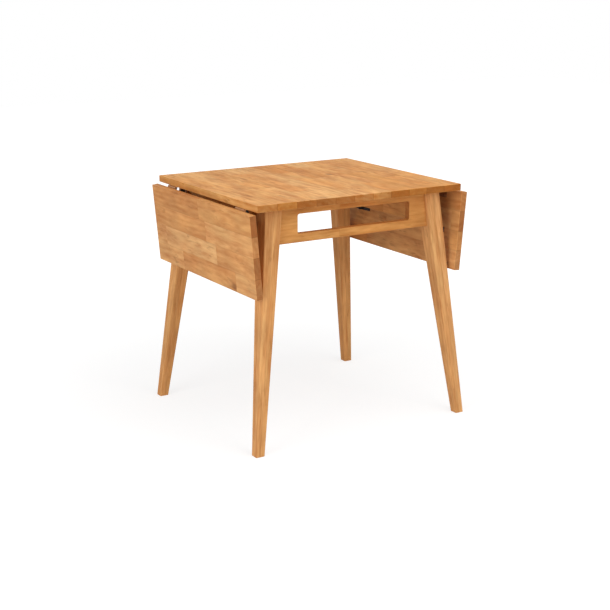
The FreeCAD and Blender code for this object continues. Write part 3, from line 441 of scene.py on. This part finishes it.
WHOLE_LENGTH = 40.0  # far longer than a leg, so no finger joint falls in one
LEG_STRIP = 27 * MM
BOARD_BLOCK = 0.34
LEG_SEED, BOARD_SEED = 31.0, 47.0
legs = sorted(name for name in nodes if name.endswith("_leg"))
for number, leg in enumerate(legs):
    low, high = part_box(leg)
    foot, head = middle(leg, low.z), middle(leg, high.z)
    dress(leg, wooden(f"oiled_hardwood_{leg}", foot - ACROSS * LEG_STRIP, ACROSS, head - foot, LEG_STRIP,
                      WHOLE_LENGTH, LEG_SEED + number, fineness=2.2, evenness=0.7))
    print(leg, "leans", round(math.degrees((head - foot).angle(UP)), 1), "degrees")

for number, (board, grain_way) in enumerate((("front_apron", ACROSS), ("back_apron", ACROSS),
                                             ("left_rail", DEPTHWISE), ("right_rail", DEPTHWISE))):
    low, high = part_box(board)
    dress(board, wooden(f"oiled_hardwood_{board}", low, UP, grain_way, high.z - low.z, BOARD_BLOCK,
                        BOARD_SEED + number, fineness=1.5, evenness=0.6, saturation=1.04))
    print(board, "is", round((high.z - low.z) / MM, 1), "mm high")

# %% [markdown]
# ## Steel and rubber
# The stays are black powder-coated steel: the powder melts into a skin with a faint orange peel,
# which breaks up a highlight. The hinges are bronzed: a bath turns the steel light brown, and it
# keeps a little of its shine. Bolts, braces and clips are zinc-plated, a bright metal with a cloudy
# bloom from the plating bath. The buffers are moulded rubber, dull and slightly dusty.

# %% Metal and rubber finishes


def finish(name, tones, pattern_size, roughness, relief_depth, **shader):
    """A finish whose colour, gloss and relief follow one noise of a real size."""
    material = bpy.data.materials.new(name)
    material.use_nodes = True
    tree = material.node_tree
    tree.nodes.clear()
    place = add(tree, "ShaderNodeTexCoord").outputs["Object"]
    cloud = add(tree, "ShaderNodeTexNoise",
                {"Vector": place, "Scale": 1 / pattern_size, "Detail": 4.0}).outputs["Fac"]
    shade = add(tree, "ShaderNodeMapRange",
                {"Value": cloud, "From Min": 0.3, "From Max": 0.7}).outputs[0]
    colour = add(tree, "ShaderNodeMix", {"Factor": shade, 6: linear(tones[0]), 7: linear(tones[1])},
                 data_type="RGBA").outputs[2]
    gloss = add(tree, "ShaderNodeMapRange", {"Value": cloud, "From Min": 0.3, "From Max": 0.7,
                                             "To Min": roughness[0], "To Max": roughness[1]}).outputs[0]
    relief = add(tree, "ShaderNodeBump",
                 {"Height": cloud, "Strength": 0.3, "Distance": relief_depth}).outputs[0]
    surface = add(tree, "ShaderNodeBsdfPrincipled",
                  {"Base Color": colour, "Roughness": gloss, "Normal": relief, **shader})
    add(tree, "ShaderNodeOutputMaterial", {"Surface": surface.outputs[0]})
    return material


finishes = {
    "black_steel": finish("powder_coated_steel", ("141416", "212124"), pattern_size=1.5 * MM,
                          roughness=(0.42, 0.55), relief_depth=0.1 * MM),
    "bronzed_steel": finish("bath_bronzed_steel", ("9c6a42", "bd8656"), pattern_size=4 * MM,
                            roughness=(0.4, 0.55), relief_depth=0.05 * MM, Metallic=0.6),
    "zinc_steel": finish("zinc_plated_steel", ("b9bbb8", "d2d3cf"), pattern_size=6 * MM,
                         roughness=(0.26, 0.42), relief_depth=0.05 * MM, Metallic=1.0),
    "buffer_rubber": finish("moulded_rubber", ("2a2724", "3a3632"), pattern_size=2 * MM,
                            roughness=(0.75, 0.9), relief_depth=0.1 * MM),
}
dressed = 0
for subpart in frame["record"]["subparts"]:
    if subpart["material_slot"] in finishes:
        dress(subpart["node"], finishes[subpart["material_slot"]])
        dressed += 1
print(dressed, "steel and rubber nodes dressed")

# %% [markdown]
# ## Wood screws
# Pan-head wood screws with a cross recess hold the hinges, the stay brackets and the clips under
# the top. They are all alike, so one Geometry Nodes tree makes a screw once and puts it on a cloud
# of points. The head is a short cylinder with a cone on it, and the upper end of the shank goes
# into the wood.

# %% The screw tree: head and shank
screws = bpy.data.node_groups.new("wood_screws", "GeometryNodeTree")
SCREW_SIZES = (("Head Radius", 3.6 * MM), ("Head Height", 1.9 * MM), ("Recess Width", 0.9 * MM),
               ("Shank Radius", 1.8 * MM), ("Shank Depth", 3.0 * MM))
HEAD_SIDES, SHANK_SIDES = 20, 12
CROWN_SHARE = 0.62  # flat crown of the head, as a share of the head's radius
SHANK_SINK = -0.4  # middle of the shank from the seat, as a share of its depth
screws.interface.new_socket("Places", in_out="INPUT", socket_type="NodeSocketGeometry")
for socket, _ in SCREW_SIZES:
    screws.interface.new_socket(socket, in_out="INPUT", socket_type="NodeSocketFloat")
screws.interface.new_socket("Finish", in_out="INPUT", socket_type="NodeSocketMaterial")
screws.interface.new_socket("Seed", in_out="INPUT", socket_type="NodeSocketInt")
screws.interface.new_socket("Screws", in_out="OUTPUT", socket_type="NodeSocketGeometry")
asked = add(screws, "NodeGroupInput").outputs

half_height = add(screws, "ShaderNodeMath", {0: asked["Head Height"], 1: 0.5},
                  operation="MULTIPLY").outputs[0]
crown_radius = add(screws, "ShaderNodeMath", {0: asked["Head Radius"], 1: CROWN_SHARE},
                   operation="MULTIPLY").outputs[0]
rim = add(screws, "GeometryNodeMeshCylinder",
          {"Vertices": HEAD_SIDES, "Radius": asked["Head Radius"], "Depth": half_height})
crown = add(screws, "GeometryNodeMeshCone", {"Vertices": HEAD_SIDES, "Radius Top": crown_radius,
                                             "Radius Bottom": asked["Head Radius"],
                                             "Depth": half_height})
rim_rise = add(screws, "ShaderNodeMath", {0: half_height, 1: 0.5}, operation="MULTIPLY").outputs[0]
rim_lift = add(screws, "ShaderNodeCombineXYZ", {"Z": rim_rise}).outputs[0]
rim_up = add(screws, "GeometryNodeTransform",
             {"Geometry": rim.outputs["Mesh"], "Translation": rim_lift}).outputs[0]
crown_lift = add(screws, "ShaderNodeCombineXYZ", {"Z": half_height}).outputs[0]
crown_up = add(screws, "GeometryNodeTransform",
               {"Geometry": crown.outputs["Mesh"], "Translation": crown_lift}).outputs[0]
shank = add(screws, "GeometryNodeMeshCylinder",
            {"Vertices": SHANK_SIDES, "Radius": asked["Shank Radius"],
             "Depth": asked["Shank Depth"]})
shank_drop = add(screws, "ShaderNodeMath", {0: asked["Shank Depth"], 1: SHANK_SINK},
                 operation="MULTIPLY").outputs[0]
shank_shift = add(screws, "ShaderNodeCombineXYZ", {"Z": shank_drop}).outputs[0]
shank_down = add(screws, "GeometryNodeTransform", {"Geometry": shank.outputs["Mesh"],
                                                   "Translation": shank_shift}).outputs[0]
print("screw tree: head and shank use", len(screws.nodes), "nodes")

# %% [markdown]
# ## The cross and the copies
# Two crossed bars are cut out of the head. A modelled recess catches light and shade, which a
# painted cross would not. A point stores which way its head faces, and a seeded random angle turns
# each cross, because nobody lines up screws.

# %% The screw tree: cross and copies
RECESS_SHARE = 1.15  # length of the cross, as a share of the head's radius

bar_length = add(screws, "ShaderNodeMath", {0: asked["Head Radius"], 1: RECESS_SHARE},
                 operation="MULTIPLY").outputs[0]
bar_size = add(screws, "ShaderNodeCombineXYZ", {"X": bar_length, "Y": asked["Recess Width"],
                                                "Z": asked["Head Height"]}).outputs[0]
bar = add(screws, "GeometryNodeMeshCube", {"Size": bar_size}).outputs["Mesh"]
bar_lift = add(screws, "ShaderNodeCombineXYZ", {"Z": asked["Head Height"]}).outputs[0]
first_bar = add(screws, "GeometryNodeTransform", {"Geometry": bar, "Translation": bar_lift}).outputs[0]
second_bar = add(screws, "GeometryNodeTransform", {"Geometry": bar, "Translation": bar_lift,
                                                   "Rotation": (0, 0, math.pi / 2)}).outputs[0]
whole = add(screws, "GeometryNodeMeshBoolean", operation="UNION")
for part in (rim_up, crown_up, shank_down):
    screws.links.new(part, whole.inputs["Mesh 2"])
recessed = add(screws, "GeometryNodeMeshBoolean", {"Mesh 1": whole.outputs["Mesh"]},
               operation="DIFFERENCE")
for part in (first_bar, second_bar):
    screws.links.new(part, recessed.inputs["Mesh 2"])

facing = add(screws, "GeometryNodeInputNamedAttribute", {"Name": "facing"},
             data_type="FLOAT_VECTOR").outputs[0]
upright = add(screws, "FunctionNodeAlignRotationToVector", {"Vector": facing}, axis="Z").outputs[0]
spin = add(screws, "FunctionNodeRandomValue", {2: 0.0, 3: math.pi, "Seed": asked["Seed"]},
           data_type="FLOAT").outputs[1]
twist = add(screws, "FunctionNodeAxisAngleToRotation", {"Axis": (0, 0, 1), "Angle": spin}).outputs[0]
turned = add(screws, "FunctionNodeRotateRotation", {"Rotation": upright, "Rotate By": twist},
             rotation_space="LOCAL").outputs[0]
copies = add(screws, "GeometryNodeInstanceOnPoints",
             {"Points": asked["Places"], "Instance": recessed.outputs["Mesh"],
              "Rotation": turned}).outputs[0]
solid = add(screws, "GeometryNodeRealizeInstances", {"Geometry": copies}).outputs[0]
shiny = add(screws, "GeometryNodeSetMaterial",
            {"Geometry": solid, "Material": asked["Finish"]}).outputs[0]
add(screws, "NodeGroupOutput", {"Screws": shiny})
print("screw tree: the whole tree has", len(screws.nodes), "nodes")

# %% [markdown]
# ## Where the screws go
# Each plate's box, and the distances at which the CAD model drills it, give the seats. Pieces on a
# leaf are worked out with the leaf raised, where the numbers are easy, and then hung with `hang`.
# A screw has the finish of the plate that it holds, so each seat is kept with a body and a slot.

# %% Screw seats
HINGE_END, HINGE_EDGE, HINGE_PLATE = 9 * MM, 8 * MM, 2 * MM
HINGE_REACH = 28 * MM
RAIL_EDGE, RAIL_LOW_HOLE, RAIL_PLATE = 6 * MM, 23 * MM, 3 * MM
LEAF_PIVOT, LEAF_END, LEAF_PLATE = 127 * MM, 10 * MM, 2.5 * MM
LEAF_PLATE_LENGTH = 84 * MM
CLIP_HOLE, CLIP_WALL, CLIP_INSET = 11 * MM, 2 * MM, 125 * MM

seats = {}


def seat_at(body, slot, spot, facing_way):
    """Keep a seat with the body it rides on and the slot that names its finish."""
    seats.setdefault((body, slot), []).append((spot, facing_way))


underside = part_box("top_panel")[0].z
for depth_word, depth_sign in (("front", -1), ("back", 1)):
    for side_word, side_sign in (("left", -1), ("right", 1)):
        corner = f"{depth_word}_{side_word}"
        leaf = f"{side_word}_leaf"
        outward = ACROSS * side_sign

        low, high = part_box(f"{corner}_hinge_top_plate")
        middle_y, half_width = (low.y + high.y) / 2, (high.y - low.y) / 2
        pin_x = folds[leaf]["pos_m"][0]
        for offset in (half_width - HINGE_END, 0, HINGE_END - half_width):
            seat = Vector((pin_x, middle_y + offset, underside - HINGE_PLATE))
            seat_at("frame", "bronzed_steel", seat - outward * (HINGE_REACH - HINGE_EDGE), -UP)
            seat_at(leaf, "bronzed_steel", hang(leaf, seat + outward * (HINGE_REACH - HINGE_EDGE)),
                    hang(leaf, -UP, True))

        low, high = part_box(f"{corner}_stay_rail_bracket")
        rail_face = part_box(f"{side_word}_rail")[side_sign > 0].x
        for y in (low.y + RAIL_EDGE, high.y - RAIL_EDGE):
            for z in (low.z + RAIL_LOW_HOLE, high.z - RAIL_EDGE):
                seat_at("frame", "black_steel", Vector((rail_face + side_sign * RAIL_PLATE, y, z)),
                        outward)

        low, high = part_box(f"{corner}_stay_leaf_bracket")
        stay_y, end = (low.y + high.y) / 2, LEAF_PLATE_LENGTH / 2 - LEAF_END
        for offset in (-end, -end / 2, end / 2, end):
            seat = Vector((pin_x + side_sign * LEAF_PIVOT, stay_y + offset, underside - LEAF_PLATE))
            seat_at(leaf, "black_steel", hang(leaf, seat), hang(leaf, -UP, True))

        rail_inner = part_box(f"{side_word}_rail")[side_sign < 0].x
        apron_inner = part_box(f"{depth_word}_apron")[depth_sign < 0].y
        leg_low, leg_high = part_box(f"{corner}_leg")
        leg_corner = Vector((leg_low.x if side_sign > 0 else leg_high.x,
                             leg_low.y if depth_sign > 0 else leg_high.y, 0))
        clips = ((outward, Vector((rail_inner, leg_corner.y - depth_sign * CLIP_INSET, underside))),
                 (DEPTHWISE * depth_sign,
                  Vector((leg_corner.x - side_sign * CLIP_INSET, apron_inner, underside))))
        for wall_way, heel in clips:
            seat_at("frame", "zinc_steel", heel - wall_way * CLIP_HOLE - UP * CLIP_WALL, -UP)
            seat_at("frame", "zinc_steel", heel - wall_way * CLIP_WALL - UP * CLIP_HOLE, -wall_way)

for (body, slot), places in seats.items():
    print(body, slot, len(places), "screws")

# %% [markdown]
# ## Making the screws
# A cloud of points carries the seats into the tree through a modifier. The result is turned into a
# plain mesh, one for each body and finish, so that the screws on a leaf swing with that leaf.

# %% Screws on each body


def add_screws(body, slot, places, seed):
    """One mesh of screws in one finish that rides on a body."""
    cloud = bpy.data.meshes.new(f"{body}_{slot}_seats")
    cloud.from_pydata([seat for seat, _ in places], [], [])
    way = cloud.attributes.new("facing", "FLOAT_VECTOR", "POINT")
    way.data.foreach_set("vector", [value for _, facing_way in places for value in facing_way])
    maker = bpy.data.objects.new(f"{body}_{slot}_maker", cloud)
    bpy.context.scene.collection.objects.link(maker)
    modifier = maker.modifiers.new("screws", "NODES")
    modifier.node_group = screws
    sockets = {item.name: item.identifier for item in screws.interface.items_tree
               if item.in_out == "INPUT"}
    for socket, value in SCREW_SIZES + (("Finish", finishes[slot]), ("Seed", seed)):
        modifier[sockets[socket]] = value
    graph = bpy.context.evaluated_depsgraph_get()
    mesh = bpy.data.meshes.new_from_object(maker.evaluated_get(graph))
    bpy.data.objects.remove(maker)
    mesh.materials.clear()
    mesh.materials.append(finishes[slot])
    made = bpy.data.objects.new(f"{body}_{slot}_screws", mesh)
    bpy.context.scene.collection.objects.link(made)
    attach(made, body)
    return made


for seed, ((body, slot), places) in enumerate(seats.items(), start=1):
    made = add_screws(body, slot, places, seed)
    print(made.name, len(made.data.polygons), "faces", made.data.materials[0].name)

# %% [markdown]
# ## The studio
# A catalogue picture has a white ground and soft light from all round. The floor is a plain pale
# sheet that still takes the table's shadow; the camera sees it nearly white because light of its
# own is added for the rays that show it, more of it farther out, so that no horizon is seen. The
# floor lies a hair below the feet, because two faces in one plane would flicker.

# %% Floor
REACH = 9.0
BELOW_FEET = -0.3 * MM
PAPER, SHADED_PAPER = linear("eceae6"), linear("9a9a9a")
WHITE = (1, 1, 1, 1)
GLOW_STARTS, GLOW_ENDS = 0.6, 2.4  # metres from the middle of the table
NEAR_GLOW, FAR_GLOW = 0.74, 1.0


def seen_rays(tree):
    """One for camera, glossy and transmission rays, which show a surface, and zero for the rest."""
    ray = add(tree, "ShaderNodeLightPath").outputs
    shown = add(tree, "ShaderNodeMath", {0: ray["Is Camera Ray"], 1: ray["Is Glossy Ray"]},
                operation="MAXIMUM").outputs[0]
    return add(tree, "ShaderNodeMath", {0: shown, 1: ray["Is Transmission Ray"]},
               operation="MAXIMUM").outputs[0]


floor_mesh = bpy.data.meshes.new("studio_floor")
floor_mesh.from_pydata([(-REACH, -REACH, BELOW_FEET), (REACH, -REACH, BELOW_FEET),
                        (REACH, REACH, BELOW_FEET), (-REACH, REACH, BELOW_FEET)],
                       [], [(0, 1, 2, 3)])
floor = bpy.data.objects.new("studio_floor", floor_mesh)
bpy.context.scene.collection.objects.link(floor)
pale = bpy.data.materials.new("matt_white_paper")
pale.use_nodes = True
tree = pale.node_tree
tree.nodes.clear()
paper = add(tree, "ShaderNodeBsdfDiffuse", {"Color": PAPER})
shaded_paper = add(tree, "ShaderNodeBsdfDiffuse", {"Color": SHADED_PAPER})
spot = add(tree, "ShaderNodeTexCoord").outputs["Object"]
distance = add(tree, "ShaderNodeVectorMath", {0: spot}, operation="LENGTH").outputs["Value"]
fade = add(tree, "ShaderNodeMapRange",
           {"Value": distance, "From Min": GLOW_STARTS, "From Max": GLOW_ENDS,
            "To Min": NEAR_GLOW, "To Max": FAR_GLOW}, interpolation_type="SMOOTHSTEP").outputs[0]
glow = add(tree, "ShaderNodeEmission", {"Color": WHITE, "Strength": fade})
lifted = add(tree, "ShaderNodeAddShader", {0: shaded_paper.outputs[0], 1: glow.outputs[0]})
either = add(tree, "ShaderNodeMixShader",
             {0: seen_rays(tree), 1: paper.outputs[0], 2: lifted.outputs[0]})
add(tree, "ShaderNodeOutputMaterial", {"Surface": either.outputs[0]})
floor_mesh.materials.append(pale)
print("floor", 2 * REACH, "m wide")

# %% [markdown]
# ## The world
# A world bright enough to look white would light the table too strongly from every side. The rays
# that show the background therefore meet full white, and all other rays meet a lower level.

# %% World
WORLD_LEVEL = 0.43

world = bpy.data.worlds.new("white_studio")
bpy.context.scene.world = world
world.use_nodes = True
tree = world.node_tree
tree.nodes.clear()
strength = add(tree, "ShaderNodeMapRange",
               {"Value": seen_rays(tree), "To Min": WORLD_LEVEL, "To Max": 1.0}).outputs[0]
sky = add(tree, "ShaderNodeBackground", {"Color": WHITE, "Strength": strength})
add(tree, "ShaderNodeOutputWorld", {"Surface": sky.outputs[0]})
print("world level", WORLD_LEVEL)

# %% [markdown]
# ## Soft lamps
# The world lights evenly. Three large lamps add the rest: one over the top, one for the left leaf
# and one for the front. A large lamp close by has soft shadows, as a photographer's softbox has.

# %% Lamps
AIM = Vector((0, 0, 0.5))
# name, place and width in metres, power in watts
LAMPS = (("overhead_softbox", (0.3, -0.9, 3.0), 2.2, 35),
         ("left_softbox", (-3.2, -1.0, 1.6), 2.0, 45),
         ("front_softbox", (0.6, -3.4, 2.2), 2.0, 34))
for name, place, width, power in LAMPS:
    lamp = bpy.data.lights.new(name, "AREA")
    lamp.size = width
    lamp.energy = power
    holder = bpy.data.objects.new(name, lamp)
    holder.location = place
    holder.rotation_euler = (AIM - Vector(place)).to_track_quat("-Z", "Y").to_euler()
    bpy.context.scene.collection.objects.link(holder)
print(len(LAMPS), "soft lamps")

# %% [markdown]
# ## The camera
# The picture is taken from the front left, a little above the top, with a long lens, so that the
# near and far edges of the top look nearly parallel. The azimuth is the heading from the depth
# axis, and the elevation is how far the camera looks down.

# %% Camera
AZIMUTH, ELEVATION = math.radians(31.652), math.radians(14.969)
EYE = Vector((-2.0123, -3.2525, 1.3455))
camera_data = bpy.data.cameras.new("catalogue_camera")
camera_data.sensor_width = 36
camera_data.lens = 74.57
camera = bpy.data.objects.new("catalogue_camera", camera_data)
looking = Vector((math.sin(AZIMUTH) * math.cos(ELEVATION), math.cos(AZIMUTH) * math.cos(ELEVATION),
                  -math.sin(ELEVATION)))
camera.location = EYE
camera.rotation_euler = looking.to_track_quat("-Z", "Y").to_euler()
bpy.context.scene.collection.objects.link(camera)
bpy.context.scene.camera = camera
bpy.context.scene.view_settings.view_transform = "Standard"
print("camera at", [round(value, 3) for value in camera.location])
